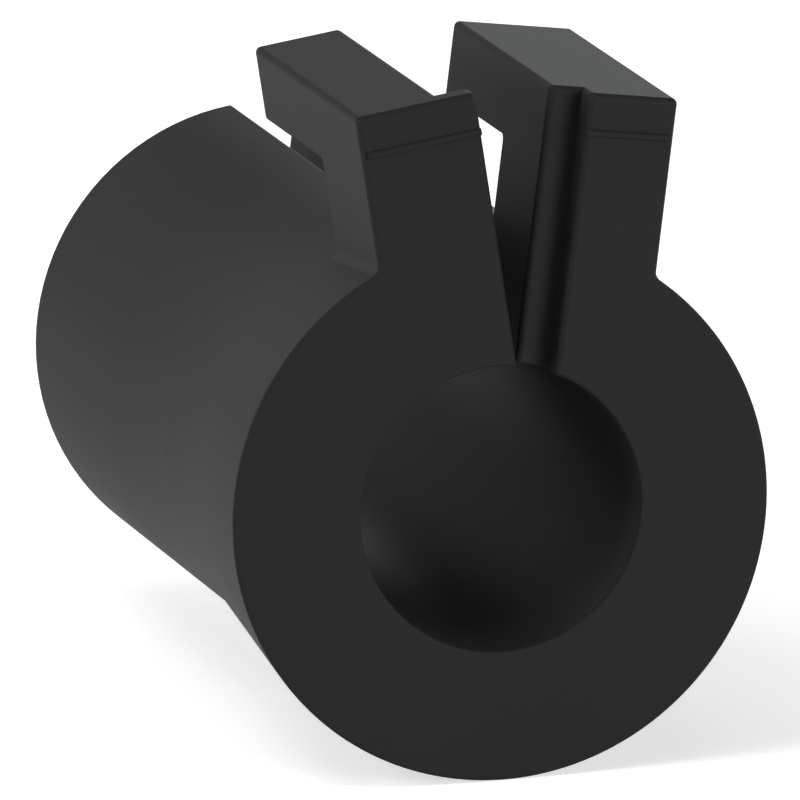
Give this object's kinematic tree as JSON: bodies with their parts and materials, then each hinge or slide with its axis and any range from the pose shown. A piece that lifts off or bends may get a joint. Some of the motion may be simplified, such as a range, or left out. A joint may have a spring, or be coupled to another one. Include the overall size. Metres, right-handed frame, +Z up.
{
  "type": "cable entry grommet",
  "caption": "Slit rubber sleeve that wraps a cable where it enters a housing, with a flared front, a lap joint across the slit and a hooked tab on each lip.",
  "frame": {"origin": "centre of the bore in the plane of the front face", "axes": "+Y back along the bore from the flared front, +Z up through the slit between the tabs, +X to the right seen from the front"},
  "size_m": [0.023, 0.0363, 0.029],
  "materials": {
    "moulded_rubber": "satin"
  },
  "bodies": {
    "root": {"grommet": "moulded_rubber"}
  },
  "joints": []
}
